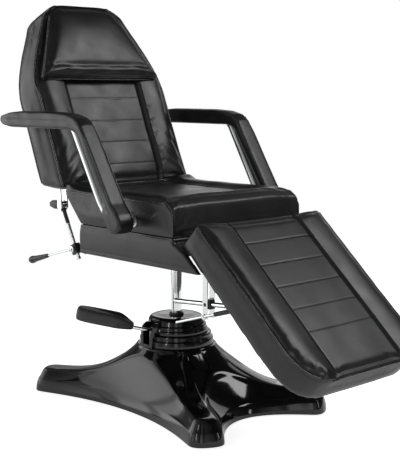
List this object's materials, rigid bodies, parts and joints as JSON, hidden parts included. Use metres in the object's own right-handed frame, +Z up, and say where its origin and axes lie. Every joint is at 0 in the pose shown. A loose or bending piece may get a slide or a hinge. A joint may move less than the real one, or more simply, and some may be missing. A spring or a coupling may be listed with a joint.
{
  "type": "facial treatment bed",
  "caption": "Hydraulic salon chair that opens into a treatment bed: reclining back with head pillow, lifting leg rest, two armrests and a four-armed base with a foot pump.",
  "frame": {"origin": "on the floor, on the pump's axis", "axes": "+Z up; -Y is the way the sitter faces, towards the leg rest; +X is the sitter's left"},
  "size_m": [0.752, 1.4561, 1.3553],
  "materials": {
    "black_vinyl": "soft black vinyl, semi-gloss, fine grain",
    "plywood": "plain plywood",
    "chrome": "bright chrome plate",
    "black_painted_steel": "satin black powder coat",
    "gloss_black_plastic": "high-gloss black moulding",
    "matte_black_plastic": "matt black moulding",
    "black_rubber": "matt black rubber"
  },
  "bodies": {
    "base": {"foot_pad_1": "black_rubber", "foot_pad_2": "black_rubber", "foot_pad_3": "black_rubber", "foot_pad_4": "black_rubber", "foot_pad_5": "black_rubber", "base_frame": "black_painted_steel", "base_cover": "gloss_black_plastic", "pump_cylinder": "black_painted_steel", "tower_cap": "gloss_black_plastic", "tower_collar": "gloss_black_plastic", "gland_ring": "black_rubber", "pedal_port": "gloss_black_plastic"},
    "pedal": {"pedal_arm": "chrome", "pedal_pad": "black_rubber"},
    "lift": {"piston_rod": "chrome"},
    "seat": {"swivel_plate": "black_painted_steel", "seat_frame": "black_painted_steel", "seat_board": "plywood", "seat_cushion": "black_vinyl", "seat_side_left": "black_vinyl", "seat_side_right": "black_vinyl", "seat_rear_panel": "black_vinyl", "back_hinge_ear_left": "black_painted_steel", "back_hinge_ear_right": "black_painted_steel", "back_hinge_pin_left": "chrome", "back_hinge_pin_right": "chrome", "leg_hinge_ear_left": "black_painted_steel", "leg_hinge_ear_right": "black_painted_steel", "leg_hinge_pin_left": "chrome", "leg_hinge_pin_right": "chrome", "back_lock_arm": "black_painted_steel", "leg_lock_bracket": "black_painted_steel", "arm_socket_left": "black_painted_steel", "arm_socket_right": "black_painted_steel"},
    "armrest_left": {"armrest_tube_left": "chrome", "armrest_pad_left": "black_vinyl"},
    "armrest_right": {"armrest_tube_right": "chrome", "armrest_pad_right": "black_vinyl"},
    "back": {"back_board": "plywood", "back_cushion": "black_vinyl", "back_hinge_arm_left": "black_painted_steel", "back_hinge_arm_right": "black_painted_steel", "back_strut_bracket": "chrome"},
    "pillow": {"head_pillow": "black_vinyl"},
    "back_strut": {"back_strut": "chrome"},
    "back_lock": {"back_lock": "black_painted_steel"},
    "back_lever": {"back_lever": "chrome", "back_lever_grip": "matte_black_plastic"},
    "leg_rest": {"leg_board": "plywood", "leg_cushion": "black_vinyl", "leg_hinge_arm_left": "black_painted_steel", "leg_hinge_arm_right": "black_painted_steel", "leg_strut_bracket": "black_painted_steel"},
    "leg_strut": {"leg_strut": "chrome"},
    "leg_lock": {"leg_lock": "black_painted_steel"},
    "leg_lever": {"leg_lever": "chrome", "leg_lever_grip": "black_rubber"}
  },
  "joints": [
    {"name": "lift_slide", "type": "slide", "parent": "base", "child": "lift", "axis": [0, 0, 1], "range_m": [-0.08, 0.05]},
    {"name": "seat_swivel", "type": "hinge", "parent": "lift", "child": "seat", "pos_m": [0, 0, 0.53], "axis": [0, 0, 1], "range_deg": [-30, 210]},
    {"name": "back_recline", "type": "hinge", "parent": "seat", "child": "back", "pos_m": [0, 0.275, 0.618], "axis": [-1, 0, 0], "range_deg": [0, 67.4]},
    {"name": "leg_raise", "type": "hinge", "parent": "seat", "child": "leg_rest", "pos_m": [0, -0.323, 0.5865], "axis": [-1, 0, 0], "range_deg": [0, 41.5]},
    {"name": "back_strut_hinge", "type": "hinge", "parent": "back", "child": "back_strut", "pos_m": [-0.185, 0.389, 0.649], "axis": [-1, 0, 0], "range_deg": [-35, 1]},
    {"name": "back_lock_hinge", "type": "hinge", "parent": "seat", "child": "back_lock", "pos_m": [-0.185, 0.31534, 0.50696], "axis": [-1, 0, 0], "range_deg": [-1, 35]},
    {"name": "leg_strut_hinge", "type": "hinge", "parent": "leg_rest", "child": "leg_strut", "pos_m": [-0.1, -0.41069, 0.39921], "axis": [-1, 0, 0], "range_deg": [-22, 1]},
    {"name": "leg_lock_hinge", "type": "hinge", "parent": "seat", "child": "leg_lock", "pos_m": [-0.1, -0.265, 0.388], "axis": [-1, 0, 0], "range_deg": [-1, 22]},
    {"name": "back_lever_hinge", "type": "hinge", "parent": "back_lock", "child": "back_lever", "pos_m": [-0.185, 0.31534, 0.50696], "axis": [1, 0, 0], "range_deg": [0, 30]},
    {"name": "leg_lever_hinge", "type": "hinge", "parent": "seat", "child": "leg_lever", "pos_m": [-0.119, -0.271, 0.3525], "axis": [1, 0, 0], "range_deg": [-12, 12]},
    {"name": "pedal_hinge", "type": "hinge", "parent": "base", "child": "pedal", "pos_m": [-0.098, 0, 0.262], "axis": [0, -1, 0], "range_deg": [0, 18], "stiffness_Nm_per_rad": 12},
    {"name": "pillow_slide", "type": "slide", "parent": "back", "child": "pillow", "axis": [0, 0.3843, 0.9232], "range_m": [0, 0.12]},
    {"name": "armrest_left_slide", "type": "slide", "parent": "seat", "child": "armrest_left", "axis": [1, 0, 0], "range_m": [0, 0.06]},
    {"name": "armrest_right_slide", "type": "slide", "parent": "seat", "child": "armrest_right", "axis": [-1, 0, 0], "range_m": [0, 0.06]}
  ],
  "couplings": [
    {"joint": "back_strut_hinge", "follows": "back_recline", "ratio": -0.5},
    {"joint": "back_lock_hinge", "follows": "back_recline", "ratio": 0.5},
    {"joint": "leg_strut_hinge", "follows": "leg_raise", "ratio": -0.5},
    {"joint": "leg_lock_hinge", "follows": "leg_raise", "ratio": 0.5}
  ]
}
